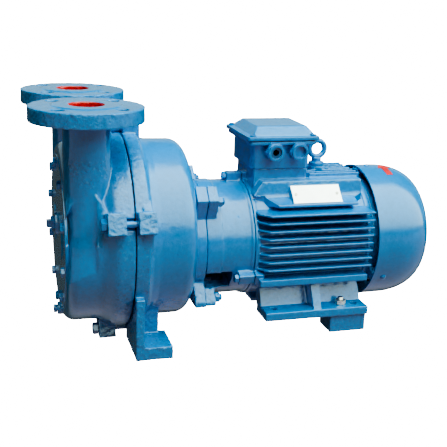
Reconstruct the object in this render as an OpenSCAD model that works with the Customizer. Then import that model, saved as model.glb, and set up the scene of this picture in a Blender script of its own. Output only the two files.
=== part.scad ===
// Close-coupled liquid ring vacuum pump: port cover, pump casing, eccentric
// impeller chamber and foot-mounted fan-cooled motor on one shaft.
// All lengths in millimetres, +Z up, floor at Z = 0, +X from pump to motor.
// Inside the modules X = 0 is the joint plane between cover and casing.

/* [Shaft and drum] */
// Height of the shaft axis above the floor
shaft_h = 142; // [141.5:0.1:142.5]
// Height of the centre of the eccentric pump drum above the floor
drum_h = 164; // [163.5:0.1:164.5]
// Outer radius of the pump drum
drum_r = 142; // [141:0.5:143]
// Outer radius of the rim at the joint plane
rim_r = 156; // [155:0.5:156.5]
// Radius of the impeller chamber
chamber_r = 128; // [127:0.5:129]

/* [Ports] */
// Outside diameter of the port flanges
flange_d = 165; // [160:1:168]
// Thickness of the port flanges
flange_t = 23.5; // [16:0.5:24]
// Height of the port flange faces above the floor
flange_h = 375; // [365:1:380]
// Bore of the ports
port_d = 50; // [44:1:52]
// Bolt circle of the port flanges
port_pcd = 125; // [120:1:128]
// Diameter of the flange bolt holes
port_hole_d = 18; // [14:1:19]
// Outside diameter of the necks
neck_d = 69; // [66:1:69]
// Sideways distance of each neck from the middle plane
port_y = 92; // [90:0.5:94]
// Position of the necks along the shaft
port_x = -61; // [-61:0.5:-60]

/* [Impeller] */
// Outer radius of the impeller
impeller_r = 104; // [98:0.5:104.5]
// Number of vanes
vane_count = 12; // [8:1:16]
// Thickness of a vane
vane_t = 5; // [3:0.5:6]
// Forward sweep of a vane from hub to tip in degrees
vane_sweep = 26; // [10:1:32]

/* [Motor] */
// Number of side fins of the motor frame
fin_count = 8; // [6:1:8]
// Distance between side fins
fin_pitch = 12.7; // [11:0.1:12.7]
// Thickness of a fin
fin_t = 3.4; // [2.5:0.1:4.5]
// Half width of the finned frame
fin_reach = 111; // [108:0.5:112]
// Outer radius of the fan cover
fan_cover_r = 112; // [111:0.5:113]
// Sheet thickness of the fan cover
fan_cover_t = 2; // [1.5:0.1:2.5]
// Thickness of the motor foot plates
foot_t = 14; // [12:0.5:16]
// Height of the blocks under the motor feet
block_h = 30; // [29.5:0.1:30.5]

/* [Hidden] */
x_end = 509;                      // outer face of the fan cover
x_min = port_x - flange_d / 2;    // left edge of the flanges
x_mid = (x_min + x_end) / 2;
cast = [0.16, 0.47, 0.71];
steel = [0.72, 0.74, 0.77];
dark = [0.16, 0.17, 0.19];
cover_lugs = [18, 90, 162, 252, 288];
lug_r = 158;                      // circle of the cover bolts
flange_pts = [[-80, 222], [80, 222], [-84, 66], [84, 66]];  // motor flange bolts
shield_lugs = [-25, 90, 205];
fan_screws = [90, 210, 330];      // screws of the fan cover
shield_r = 102;                   // circle of the shield screws
plate_r = 120;                    // end plate
plate_bolt_r = 109;
drain_h = 32.5;                   // height of the drain plug

// ---- helpers -------------------------------------------------------------
module place() { translate([-x_mid, 0, 0]) children(); }
module xcyl(x0, x1, r, y = 0, z = shaft_h)
  translate([x0, y, z]) rotate([0, 90, 0]) cylinder(h = x1 - x0, r = r, $fn = 96);
module ycyl(y0, y1, r, x, z)
  translate([x, y0, z]) rotate([-90, 0, 0]) cylinder(h = y1 - y0, r = r, $fn = 64);
module zcyl(z0, z1, r, x, y)
  translate([x, y, z0]) cylinder(h = z1 - z0, r = r, $fn = 96);
module xhex(x0, x1, af, y, z)
  translate([x0, y, z]) rotate([0, 90, 0]) cylinder(h = x1 - x0, r = af / sqrt(3), $fn = 6);
module zhex(z0, z1, af, x, y)
  translate([x, y, z0]) cylinder(h = z1 - z0, r = af / sqrt(3), $fn = 6);
module yhex(y0, y1, af, x, z)
  translate([x, y0, z]) rotate([-90, 0, 0]) cylinder(h = y1 - y0, r = af / sqrt(3), $fn = 6);
module box(a, b) translate(a) cube(b - a);
// solid of revolution about an X axis at height z; points are [radius, x]
module xrev(z, pts)
  translate([0, 0, z]) rotate([0, 90, 0]) rotate_extrude($fn = 128) polygon(pts);
function arc(c, r, a0, a1, n) = [for (i = [0:n]) let (a = a0 + (a1 - a0) * i / n)
  [c[0] + r * cos(a), c[1] + r * sin(a)]];
// prism of a [y, z] outline between two X planes
module xprism(x0, x1, pts)
  translate([x0, 0, 0]) rotate([90, 0, 90]) linear_extrude(height = x1 - x0) polygon(pts);
// prism of an [x, z] outline between two Y planes
module yprism(y0, y1, pts)
  translate([0, y1, 0]) rotate([90, 0, 0]) linear_extrude(height = y1 - y0) polygon(pts);
// prism of an [x, y] outline between two Z planes
module zprism(z0, z1, pts)
  translate([0, 0, z0]) linear_extrude(height = z1 - z0) polygon(pts);
module both() { children(); mirror([0, 1, 0]) children(); }
// places children, drawn along +Y, at an angle about an X axis at height z
module around(a, z = shaft_h) translate([0, 0, z]) rotate([a, 0, 0]) children();
// a point on a circle about an X axis
function on(r, a, z) = [r * cos(a), z + r * sin(a)];

// ---- port cover ----------------------------------------------------------
cover_prof = concat([[0, -96]],
  [for (p = arc([drum_r - 18, -78], 18, -90, 0, 10)) p],
  [[drum_r, -50], [drum_r + 0.8, -45], [drum_r + 3.2, -40], [rim_r - 4, -31],
   [rim_r - 1, -26.5], [rim_r, -22], [rim_r, 0], [0, 0]]);
// upright bulge that carries a neck down into the drum: [y, z] and [x, z] outlines
lobe_prof = [[0, 60], [-100, 100], [-142, 150], [-142.5, 176], [-126.6, 258.9], [0, 258.9]];
lobe_side = [[-96, 20], [-38, 20], [-38, 224.4], [-46, 243.8], [-60.3, 258.9], [-68, 257], [-78, 247],
  [-88, 228], [-96, 205]];

module port_cover() color(cast) place() difference() {
  union() {
    xrev(drum_h, cover_prof);
    both() intersection() {
      xprism(-96, -38, lobe_prof);
      yprism(-170, 0, lobe_side);
      xrev(drum_h, concat([[0, -96]], arc([134, -69], 27, -90, 0, 10), [[161, -30], [0, -30]]));
    }
    both() {
      zcyl(190, flange_h - flange_t + 1, neck_d / 2, port_x, -port_y);
      zcyl(flange_h - flange_t, flange_h - 1.5, flange_d / 2, port_x, -port_y);
      zcyl(flange_h - 2, flange_h, 49, port_x, -port_y);
      translate([port_x, -port_y, flange_h - flange_t]) rotate([180, 0, 0])
        rotate_extrude($fn = 96) polygon(concat([[30, -1], [neck_d / 2 + 6, -1], [neck_d / 2 + 6, 0]],
          arc([neck_d / 2 + 6, 6], 6, 270, 180, 6), [[30, 6]]));
    }
    difference() {
      for (a = cover_lugs) around(a, drum_h) box([-42, 132, -16.5], [-15, 173, 16.5]);
      box([-60, -200, -30], [20, 200, 3]);
    }
    xcyl(-100, -70, 10.5, 0, drain_h);
  }
  difference() {
    union() {
      xcyl(-84, -8.9, 126, 0, drum_h);
      xcyl(-96.1, -83, 98, 0, drum_h);
    }
    box([-91.2, -7, 20], [-9, 7, 300]);
  }
  xcyl(-96.1, -91, plate_r + 0.5, 0, drum_h);
  xcyl(-9, 0.1, 138.3, 0, drum_h);
  both() {
    zcyl(262, flange_h + 1, port_d / 2, port_x, -port_y);
    intersection() {
      zcyl(196, 262, port_d / 2 + 4, port_x, -port_y);
      box([-84, -200, 190], [0, 0, 270]);
    }
    for (a = [45:90:315]) zcyl(flange_h - flange_t - 1, flange_h + 1, port_hole_d / 2,
      port_x + port_pcd / 2 * cos(a), -port_y + port_pcd / 2 * sin(a));
  }
  for (i = [0:9]) let (p = on(plate_bolt_r, 18 + 36 * i, drum_h)) xcyl(-91.1, -85.5, 4.1, p[0], p[1]);
  for (a = cover_lugs) let (p = on(lug_r, a, drum_h)) {
    xcyl(-43, -14, 5.5, p[0], p[1]);
    xcyl(-58, -41.7, 11, p[0], p[1]);
    xcyl(-16, 0.1, 8.5, p[0], p[1]);
  }
  xcyl(-101, -78, 5.1, 0, drain_h);
}

module end_plate() color(cast) place() difference() {
  union() {
    xcyl(-97, -92, plate_r, 0, drum_h);
    xcyl(-102, -96, 18, 0, 176);
    // two raised ribs cast on the plate
    both() xcyl(-99, -96, 30, -52, drum_h);
  }
  for (i = [0:9]) let (p = on(plate_bolt_r, 18 + 36 * i, drum_h)) xcyl(-100, -91, 4.5, p[0], p[1]);
  xcyl(-103, -93.9, 8.1, 0, 176);
}

module end_plate_gasket() color(dark) place() difference() {
  xcyl(-92, -91, plate_r - 0.8, 0, drum_h);
  xcyl(-93, -90, 98.5, 0, drum_h);
  for (i = [0:9]) let (p = on(plate_bolt_r, 18 + 36 * i, drum_h)) xcyl(-93, -90, 4.5, p[0], p[1]);
}

module end_plate_bolts() color(cast) place()
  for (i = [0:9]) let (p = on(plate_bolt_r, 18 + 36 * i, drum_h)) {
    xhex(-102.5, -97, 13, p[0], p[1]);
    xcyl(-97.2, -86.5, 4, p[0], p[1]);
  }

// square-headed plug in the boss of the end plate
module service_plug() color(cast) place() union() {
  xcyl(-106, -94, 8, 0, 176);
  xhex(-107, -102, 21, 0, 176);
  box([-114, -5.5, 170.5], [-106, 5.5, 181.5]);
}

module drain_plug() color(cast) place() union() {
  xcyl(-101, -80, 5, 0, drain_h);
  xhex(-106, -100, 13, 0, drain_h);
}

// ---- port plate and valve ------------------------------------------------
// ring sector about the shaft axis as a [y, z] outline
function sector(r0, r1, a0, a1, n) = concat(
  [for (p = arc([0, shaft_h], r1, a0, a1, n)) p],
  [for (p = arc([0, shaft_h], r0, a1, a0, n)) p]);

module port_plate() color(steel) place() difference() {
  xcyl(-9, 0, 138, 0, drum_h);
  xprism(-10, 1, sector(46, 84, 150, 238, 16));
  xprism(-10, 1, sector(46, 66, 288, 330, 10));
  for (y = [62, 76, 90], z = [134, 148, 162]) xcyl(-10, 1, 5, y, z);
  for (z = [130, 166]) xcyl(-10, -4, 2.6, 106, z);
  xcyl(-10, 1, 6, 0, shaft_h);
}

// bar that holds the edge of the valve flap on the port plate
module flap_clamp() color(steel) place() union() {
  box([-14, 100, 122], [-9, 112, 174]);
  for (z = [130, 166]) { xcyl(-9.5, -4.2, 2.5, 106, z); xhex(-17, -13.5, 8, 106, z); }
}

module discharge_flap() color([0.85, 0.86, 0.82]) place()
  box([-10.8, 55, 124], [-9.6, 99, 172]);

module cover_gasket() color(dark) place() difference() {
  xcyl(0, 1, 152.5, 0, drum_h);
  xcyl(-1, 2, 128.6, 0, drum_h);
}

// ---- pump casing ---------------------------------------------------------
casing_prof = concat([[0, 1], [rim_r, 1], [rim_r, 22]],
  [for (p = arc([drum_r + 13, 33], 11, 250, 180, 6)) p],
  [[drum_r, 40], [drum_r - 0.5, 79]],
  [for (p = arc([drum_r - 20.5, 79], 20, 0, 90, 10)) p], [[0, 99]]);

upper_ear = [[-50, 190], [-76, 190], [-80, 195], [-96, 227], [-76, 247], [-50, 222]];

module pump_casing() color(cast) place() difference() {
  union() {
    xrev(drum_h, casing_prof);
    xcyl(95, 122, 96);
    // four ears towards the motor
    both() {
      xprism(104, 122, upper_ear);
      xprism(104, 122, [[-45, 70], [-60, 56], [-100, 56], [-100, 64], [-82, 92], [-70, 95]]);
    }
    difference() {
      for (a = cover_lugs) around(a, drum_h) box([2, 132, -16.5], [29, 174, 16.5]);
      box([-20, -200, -30], [60, 200, 3]);
    }
    // small gussets above and below the side lugs
    both() around(18, drum_h) xprism(12, 26, [[128, -42], [145, -42], [161, -16], [161, 16], [145, 42], [128, 42]]);
    both() {
      // foot: upright plate, toe and web
      xprism(1, 14, [[-152.5, 0], [-60, 0], [-60, 90], [-100, 97], [-152.5, 97]]);
      box([1, -152.5, 0], [58, -88, 20]);
      box([10, -98, 0], [46, -60, 70]);
      xprism(10, 46, [[-106, 19], [-97, 33], [-97, 19]]);
    }
  }
  xcyl(0.9, 92, chamber_r, 0, drum_h);
  xcyl(91, 107, 30);
  xcyl(106, 123, 80);
  box([-1, -59.9, -1], [60, 59.9, 8]);
  for (a = cover_lugs) let (p = on(lug_r, a, drum_h)) xcyl(0.9, 26, 5.3, p[0], p[1]);
  for (p = flange_pts) xcyl(103, 123, 6, p[0], p[1]);
}

module casing_bolts() color(cast) place()
  for (a = cover_lugs) let (p = on(lug_r, a, drum_h)) {
    xhex(-50, -41.7, 17, p[0], p[1]);
    xcyl(-42.5, 25, 5, p[0], p[1]);
  }

// ---- shaft seal ----------------------------------------------------------
module seal_seat() color([0.35, 0.33, 0.32]) place() difference() {
  xcyl(99, 106, 29.9);
  xcyl(98, 107, 15.2);
}
module seal_rotor() color(dark) place() difference() {
  xcyl(91.8, 98.4, 25);
  xcyl(91, 99, 14.52);
}
module slinger() color(dark) place() difference() {
  union() { xcyl(128, 131, 30); xcyl(131, 137, 20); }
  xcyl(127, 138, 14.52);
}

// ---- shaft and impeller --------------------------------------------------
module shaft() color(steel) place() difference() {
  xrev(shaft_h, [[0, 10], [8, 10], [9, 11], [9, 31.9], [13, 31.9], [13, 91.2], [14.5, 91.2],
    [14.5, 174.9], [15, 175.2], [15, 194.05], [20, 194.05], [20, 393.95], [15, 393.95],
    [15, 413], [14.5, 413.5], [14.5, 424], [13, 424], [13, 461], [12, 462], [0, 462]]);
  box([40, -4.02, shaft_h + 9.5], [80, 4.02, shaft_h + 20]);
}

function vane_pt(r, off) = let (u = (r - 30) / (impeller_r - 30), a = vane_sweep * u * u)
  [r * cos(a) - off * sin(a + 6 * u), r * sin(a) + off * cos(a + 6 * u)];
vane_n = 9;
vane_r = [for (i = [0:vane_n]) 30 + (impeller_r - 30.6) * i / vane_n];
vane_outline = concat([for (r = vane_r) vane_pt(r, -vane_t / 2)],
  [for (i = [vane_n:-1:0]) vane_pt(vane_r[i], vane_t / 2)]);

module impeller() color([0.72, 0.56, 0.30]) place() difference() {
  union() {
    xcyl(0.5, 91, 38);
    intersection() {
      for (i = [0:vane_count - 1]) around(360 * i / vane_count) xprism(0.5, 88, vane_outline);
      xcyl(0, 92, impeller_r);
    }
    xcyl(85, 91, impeller_r);
  }
  xcyl(31.9, 92, 13.02);
  xcyl(0, 32, 21);
  box([31, -4.05, shaft_h], [92, 4.05, shaft_h + 16.8]);
}
module impeller_washer() color(steel) place() difference() {
  xcyl(29.5, 31.9, 18.5);
  xcyl(29, 33, 9.02);
}
module impeller_nut() color(steel) place() difference() {
  xhex(15.5, 29.5, 27, 0, shaft_h);
  xcyl(15, 30, 9.02);
}
module impeller_key() color(steel) place()
  box([40.1, -4, shaft_h + 9.6], [79.9, 4, shaft_h + 16.5]);

// ---- drive-end shield ----------------------------------------------------
module flange_bolts() color(cast) place()
  for (p = flange_pts) {
    xcyl(110, 150, 5.5, p[0], p[1]);
    xhex(138.7, 146.5, 15, p[0], p[1]);
  }

module drive_end_shield() color(cast) place() difference() {
  union() {
    xcyl(122, 147, 96);
    both() {
      xprism(122, 139, upper_ear);
      xprism(122, 139, [[-45, 70], [-60, 56], [-96, 56], [-96, 62], [-88, 74], [-70, 95]]);
    }
    xcyl(146, 200, 94.5);
    xcyl(195, 200, 97);
    for (a = shield_lugs) around(180 - a) box([174, 80, -9], [200, 109, 9]);
    xcyl(199, 206, 87.3);
  }
  difference() {
    xcyl(121, 160, 80);
    xrev(shaft_h, [[0, 152], [40, 152], [46, 161], [0, 161]]);
  }
  difference() {
    xcyl(172, 207, 84);
    xcyl(171, 197, 46);
  }
  xcyl(173, 198, 36.02);
  xcyl(150, 174, 16.2);
  // leak drain in the bottom of the lantern
  box([148, -16, 40], [162, 16, 80]);
  // windows in the sides of the lantern
  for (a = [212, 328]) around(a) box([121, 60, -18], [166, 100, 18]);
  for (p = flange_pts) {
    xcyl(121, 140, 6, p[0], p[1]);
    xcyl(138.7, 152, 9.5, p[0], p[1]);
  }
  for (a = shield_lugs) let (p = on(shield_r, 180 - a, shaft_h)) xcyl(173, 201, 4.3, p[0], p[1]);
}

module shield_screws() color(cast) place()
  for (a = shield_lugs) let (p = on(shield_r, 180 - a, shaft_h)) {
    xhex(167.5, 174, 12, p[0], p[1]);
    xcyl(173.5, 212, 4, p[0], p[1]);
  }

// ---- bearings ------------------------------------------------------------
module bearing_outer(xc) difference() {
  xcyl(xc - 9.5, xc + 9.5, 36);
  xcyl(xc - 10, xc + 10, 29.5);
  translate([xc, 0, shaft_h]) rotate([0, 90, 0]) rotate_extrude($fn = 96)
    translate([25.5, 0]) circle(r = 6.3, $fn = 48);
}
module bearing_inner(xc) difference() {
  xcyl(xc - 9.5, xc + 9.5, 21.5);
  xcyl(xc - 10, xc + 10, 15.02);
  translate([xc, 0, shaft_h]) rotate([0, 90, 0]) rotate_extrude($fn = 96)
    translate([25.5, 0]) circle(r = 6.3, $fn = 48);
}
module front_bearing_outer() color(steel) place() bearing_outer(184.5);
module front_bearing_inner() color(steel) place() bearing_inner(184.5);
module rear_bearing_outer() color(steel) place() bearing_outer(403.5);
module rear_bearing_inner() color(steel) place() bearing_inner(403.5);
module bearing_balls() color(steel) place()
  for (xc = [184.5, 403.5], i = [0:7]) let (p = on(25.5, 45 * i, shaft_h))
    translate([xc, p[0], p[1]]) sphere(r = 5.9, $fn = 48);

// ---- motor ---------------------------------------------------------------
fin_top = 202;
seat_out = 113;                 // distance of the nameplate's seat from the shaft axis
plate_x = [264, 346.6];           // ends of the nameplate
plate_s = [-8.8, 23.6];           // lower and upper edge of the nameplate along its slope
rivet_x = [plate_x[0] + 6, plate_x[1] - 6];
plate_mid = (plate_s[0] + plate_s[1]) / 2;
// upright corner wall and the ledge under it, as a [y, z] outline
pad_prof = [[-34, 225], [-34, 246.5], [-61, 246.5], [-64.2, 228], [-64.5, 226], [-65.3, 224],
  [-66.8, 222.2], [-69, 220.9], [-88.5, 213.8], [-88.5, 209.8], [-60, 208]];

module foot_side() {
  // plate, leg wall, upper bar and middle rib of one motor foot
  box([216.5, -115.5, block_h], [394, -66, block_h + foot_t]);
  xprism(217, 392, [[-87, 40], [-62, 40], [-52, 70], [-55, 97], [-62, 97]]);
  xprism(206, 390, [[-111, 87.5], [-111, 98], [-84, 98], [-80, 84]]);
  intersection() {
    xprism(290, 320, [[-115, 40], [-62, 40], [-62, 93], [-91, 93]]);
    yprism(-120, -60, [[299, 39], [312, 39], [313, 94], [295, 94]]);
  }
}

module motor_frame() color(cast) place() difference() {
  union() {
    xcyl(203, 399, 96);
    xcyl(200, 206, 98);
    xcyl(392, 402, 98);
    for (i = [0:fin_count - 1]) let (z = fin_top - i * fin_pitch)
      zprism(z - fin_t / 2, z + fin_t / 2, [[204, -94], [219, -fin_reach], [396, -fin_reach],
        [396, fin_reach], [219, fin_reach], [204, 94]]);
    for (i = [-3:3]) {
      yprism(i * 12.7 - fin_t / 2, i * 12.7 + fin_t / 2,
        [[305, 220], [394, 220], [394, shaft_h + fin_reach], [305, shaft_h + fin_reach]]);
      yprism(i * 12.7 - fin_t / 2, i * 12.7 + fin_t / 2,
        [[204, 60], [216, 36], [388, 36], [388, 60]]);
    }
    both() {
      intersection() {
        xprism(204, 389, pad_prof);
        union() {
          yprism(-120, 0, [[204, 223.5], [389, 223.5], [389, 250], [221, 250], [204, 227]]);
          zprism(202, 224, [[205, -30], [205, -60], [221, -64], [239, -89], [374, -89], [374, -70], [389, -64], [389, -30]]);
        }
      }
      foot_side();
    }
    // raised seat of the nameplate
    xprism(plate_x[0] - 1.2, plate_x[1] + 1.2, [[-55, shaft_h + (seat_out + 25) / sqrt(2)],
      [(25 - seat_out) / sqrt(2), shaft_h + (seat_out + 25) / sqrt(2)],
      [(-10 - seat_out) / sqrt(2), shaft_h + (seat_out - 10) / sqrt(2)], [-55, shaft_h + (seat_out - 10) / sqrt(2)]]);
    // pedestal of the terminal box and boss of the lifting eye
    box([208, -45, 215], [298, 45, 264]);
    zcyl(225, 258, 15, 332.5, 0);
    for (a = shield_lugs) around(180 - a) box([200.4, 85, -10], [215, 109, 10]);
  }
  xcyl(199, 403, 87.5);
  box([232, -36, 200], [273, -4, 266]);
  for (a = shield_lugs) let (p = on(shield_r, 180 - a, shaft_h)) xcyl(199, 214, 4.1, p[0], p[1]);
  for (i = [0:3]) let (p = on(92, 45 + 90 * i, shaft_h)) xcyl(388, 403, 3.1, p[0], p[1]);
  zcyl(240, 259, 5.05, 332.5, 0);
  both() {
    for (x = [235.5, 375.5]) zcyl(block_h - 1, block_h + foot_t + 1, 6, x, -95);
    zcyl(block_h - 1, block_h + foot_t + 1, 5.5, 352, -96);
  }
  // rivet holes of the nameplate
  for (x = rivet_x) around(-45) translate([x, 0, plate_mid]) ycyl(-seat_out - 1, -seat_out + 7, 1.6, 0, 0);
}

module stator_core() color([0.45, 0.46, 0.48]) place() difference() {
  xcyl(232, 367, 87.4);
  xcyl(231, 368, 55);
}
module stator_winding() color([0.62, 0.34, 0.16]) place() {
  xrev(shaft_h, [[60, 210], [62, 208], [80, 208], [82, 211], [82, 232], [60, 232]]);
  xrev(shaft_h, [[60, 367], [82, 367], [82, 388], [80, 391], [62, 391], [60, 389]]);
}
module rotor_core() color([0.5, 0.51, 0.53]) place() difference() {
  union() { xcyl(232, 367, 54.4); xcyl(222, 377, 50); }
  xcyl(221, 378, 20.02);
  for (s = [[221, 231], [368, 378]]) xcyl(s[0], s[1], 32);
}

module fan_end_shield() color(cast) place() difference() {
  union() {
    xcyl(402, 414, 96);
    xcyl(392, 416, 46);
    difference() { xcyl(396, 403, 87.3); xcyl(395, 402, 84); }
    for (a = fan_screws) around(a) box([404, 86, -9], [433, 109, 9]);
  }
  for (a = fan_screws) around(a) box([414, 80, -20], [440, 99, 20]);
  xcyl(391, 413.1, 36.02);
  xcyl(412, 417, 16.2);
  for (i = [0:3]) let (p = on(92, 45 + 90 * i, shaft_h)) xcyl(395, 415, 3.3, p[0], p[1]);
  for (a = fan_screws) around(a) translate([426, 0, 0]) ycyl(100, 110, 2.6, 0, 0);
}
module fan_shield_screws() color(steel) place()
  for (i = [0:3]) let (p = on(92, 45 + 90 * i, shaft_h)) {
    xhex(414, 418.5, 10, p[0], p[1]);
    xcyl(392, 414.5, 3, p[0], p[1]);
  }

module fan() color([0.14, 0.15, 0.17]) place() difference() {
  union() {
    xcyl(425, 452, 24);
    xcyl(434, 437, 93);
    for (i = [0:8]) around(40 * i) box([437, 20, -1.5], [454, 93, 1.5]);
  }
  xcyl(424, 456, 13.02);
}
module fan_clip() color(steel) place() difference() {
  xcyl(452.2, 454.2, 18);
  xcyl(451, 456, 13.02);
}

// rounded end of the fan cover, a quarter of an ellipse; t is the inset from the outer skin
function cover_end(t) = [for (i = [0:14]) let (a = 90 * i / 14)
  [fan_cover_r - 35 + (35 - t) * cos(a), x_end - 65 + (65 - t) * sin(a)]];
cover_skin = concat([[fan_cover_r, 405.5]], cover_end(0), [[0, x_end], [0, x_end - fan_cover_t]],
  [for (i = [14:-1:0]) cover_end(fan_cover_t)[i]], [[fan_cover_r - fan_cover_t, 405.5]]);
module fan_cover() color(cast) place() difference() {
  union() {
    xrev(shaft_h, cover_skin);
    // rolled edge of the sheet
    xrev(shaft_h, [[fan_cover_r - fan_cover_t, 405.5], [fan_cover_r + 0.8, 405.5],
      [fan_cover_r + 0.8, 409], [fan_cover_r - fan_cover_t, 410]]);
  }
  difference() {
    for (r = [20:12:68]) xrev(shaft_h, [[r, x_end - 8], [r + 7, x_end - 8], [r + 7, x_end + 1], [r, x_end + 1]]);
    for (i = [0:2]) around(60 * i + 30) box([x_end - 10, -120, -4], [x_end + 2, 120, 4]);
  }
  for (a = fan_screws) around(a) translate([426, 0, 0]) ycyl(100, 120, 2.8, 0, 0);
}
module fan_cover_screws() color(steel) place()
  for (a = fan_screws) around(a) translate([426, 0, 0]) {
    ycyl(101, 112.5, 2.5, 0, 0);
    intersection() {
      ycyl(112, 115.2, 5, 0, 0);
      translate([0, 108.6, 0]) sphere(r = 6.6, $fn = 48);
    }
  }
// sticker with a plain arrow, curved to the fan cover
module rotation_arrow() color([0.80, 0.12, 0.10]) place() intersection() {
  xrev(shaft_h, [[fan_cover_r + 0.02, 430], [fan_cover_r + 0.4, 430], [fan_cover_r + 0.4, 466], [fan_cover_r + 0.02, 466]]);
  zprism(200, 270, [[446, -40], [457, -40], [457, -16], [463, -16], [451.5, 6], [440, -16], [446, -16]]);
}

// ---- terminal box --------------------------------------------------------
tb_x = 252.5;
gland_x = [236.5, 277.5];         // cable gland and blanking plug
gland_z = 293.5;
// rounded rectangle as an [x, y] outline
function rrect(x0, y0, x1, y1, r) = concat(arc([x0 + r, y0 + r], r, 180, 270, 8), arc([x1 - r, y0 + r], r, 270, 360, 8),
  arc([x1 - r, y1 - r], r, 0, 90, 8), arc([x0 + r, y1 - r], r, 90, 180, 8));
module at_lid_screws() for (x = [201.5, 303.5], y = [-51, 65]) translate([x, y, 0]) children();
module terminal_box() color(cast) place() difference() {
  union() {
    zprism(264, 309, rrect(203, -48, 302, 62, 12));
    zprism(303.5, 309, rrect(196, -56, 309, 70, 6));
  }
  box([213, -42, 271], [292, 56, 310]);
  box([232, -36, 263], [273, -4, 272]);
  at_lid_screws() zcyl(302, 310, 2.6, 0, 0);
  for (x = gland_x) {
    ycyl(-49, -40, 8.1, x, gland_z);
    ycyl(-57, -47.8, 12.5, x, gland_z);
  }
}
module terminal_box_gasket() color(dark) place() difference() {
  zprism(309, 310.5, rrect(197, -55, 308, 69, 5));
  box([213, -42, 308], [292, 56, 312]);
  at_lid_screws() zcyl(308, 312, 3, 0, 0);
}
module terminal_box_lid() color(cast) place() difference() {
  union() {
    zprism(310.5, 317, rrect(192.5, -57.5, 313, 71.5, 5));
    intersection() {
      yprism(-57, 71, [[tb_x - 50, 316], [tb_x + 55, 316], [tb_x + 55, 318], [tb_x + 44.5, 331], [tb_x - 39, 331], [tb_x - 50, 318]]);
      xprism(tb_x - 56, tb_x + 60, [[-52, 316], [66, 316], [66, 318], [46, 331], [-34, 331], [-52, 318]]);
    }
  }
  box([213, -42, 310], [292, 56, 316]);
  intersection() {
    yprism(-42, 56, [[tb_x - 39.5, 315], [tb_x + 39.5, 315], [tb_x + 34, 327], [tb_x - 34, 327]]);
    xprism(tb_x - 56, tb_x + 56, [[-42, 315], [56, 315], [42, 327], [-29, 327]]);
  }
  at_lid_screws() { zcyl(310, 318, 2.9, 0, 0); zcyl(316, 324, 5.2, 0, 0); }
}
module lid_screws() color(steel) place()
  at_lid_screws() { zcyl(304, 316.2, 2.5, 0, 0); zcyl(316, 319.5, 4.6, 0, 0); }
module terminal_board() color([0.55, 0.20, 0.12]) place() difference() {
  box([225, 2, 271], [280, 36, 277]);
  for (x = [234, 252.5, 271], y = [11, 27]) zcyl(270, 278, 2.6, x, y);
}
module terminal_studs() color([0.75, 0.60, 0.25]) place()
  for (x = [234, 252.5, 271], y = [11, 27]) { zcyl(271.2, 289, 2.5, x, y); zhex(277, 280.5, 8, x, y); }
module cable_gland() color(cast) place() difference() {
  union() {
    ycyl(-48.2, -41, 8, gland_x[0], gland_z);
    ycyl(-57.5, -47.8, 12, gland_x[0], gland_z);
    yhex(-63, -57, 27.5, gland_x[0], gland_z);
    ycyl(-68, -62.5, 13.2, gland_x[0], gland_z);
  }
  ycyl(-69, -40, 6.2, gland_x[0], gland_z);
  ycyl(-69, -58, 9, gland_x[0], gland_z);
}
module gland_insert() color(dark) place() difference() {
  ycyl(-65.5, -58, 8.9, gland_x[0], gland_z);
  ycyl(-67, -57, 5, gland_x[0], gland_z);
}
module blanking_plug() color(cast) place() difference() {
  union() {
    ycyl(-48.2, -41, 8, gland_x[1], gland_z);
    ycyl(-57.5, -47.8, 12, gland_x[1], gland_z);
    yhex(-63, -57, 27.5, gland_x[1], gland_z);
    ycyl(-66, -62.5, 13.2, gland_x[1], gland_z);
  }
  ycyl(-67, -60, 9.5, gland_x[1], gland_z);
}

// ---- fittings ------------------------------------------------------------
module lifting_eye() color(cast) place() difference() {
  union() {
    translate([332.5, 0, 286]) rotate([90, 0, 0]) rotate_extrude($fn = 96)
      translate([13.4, 0]) circle(r = 4.6, $fn = 48);
    zcyl(258, 264, 13, 332.5, 0);
    zcyl(263, 271, 8, 332.5, 0);
    zcyl(241, 258.5, 5, 332.5, 0);
  }
  ycyl(-20, 20, 9, 332.5, 286);
}
module nameplate() color([0.94, 0.94, 0.93]) place() difference() {
  around(-45) box([plate_x[0], -seat_out - 0.9, plate_s[0]], [plate_x[1], -seat_out, plate_s[1]]);
  for (x = rivet_x) around(-45) translate([x, 0, plate_mid]) ycyl(-seat_out - 2, -seat_out + 1, 1.6, 0, 0);
}
module nameplate_rivets() color(steel) place()
  for (x = rivet_x) around(-45) translate([x, 0, plate_mid]) {
    ycyl(-seat_out - 1.1, -seat_out + 5.5, 1.5, 0, 0);
    ycyl(-seat_out - 1.9, -seat_out - 0.9, 2.4, 0, 0);
  }
module support_block() difference() {
  box([330, -110.5, 0], [393.4, -66, block_h]);
  zcyl(-1, block_h + 1, 6, 375.5, -95);
  zcyl(10, block_h + 1, 5.1, 352, -96);
}
module near_support_block() color(cast) place() support_block();
module far_support_block() color(cast) place() mirror([0, 1, 0]) support_block();
module support_block_bolts() color(steel) place() both() {
  zcyl(12, block_h + foot_t + 12, 5, 352, -96);
  zhex(block_h + foot_t, block_h + foot_t + 8, 16, 352, -96);
}

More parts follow.
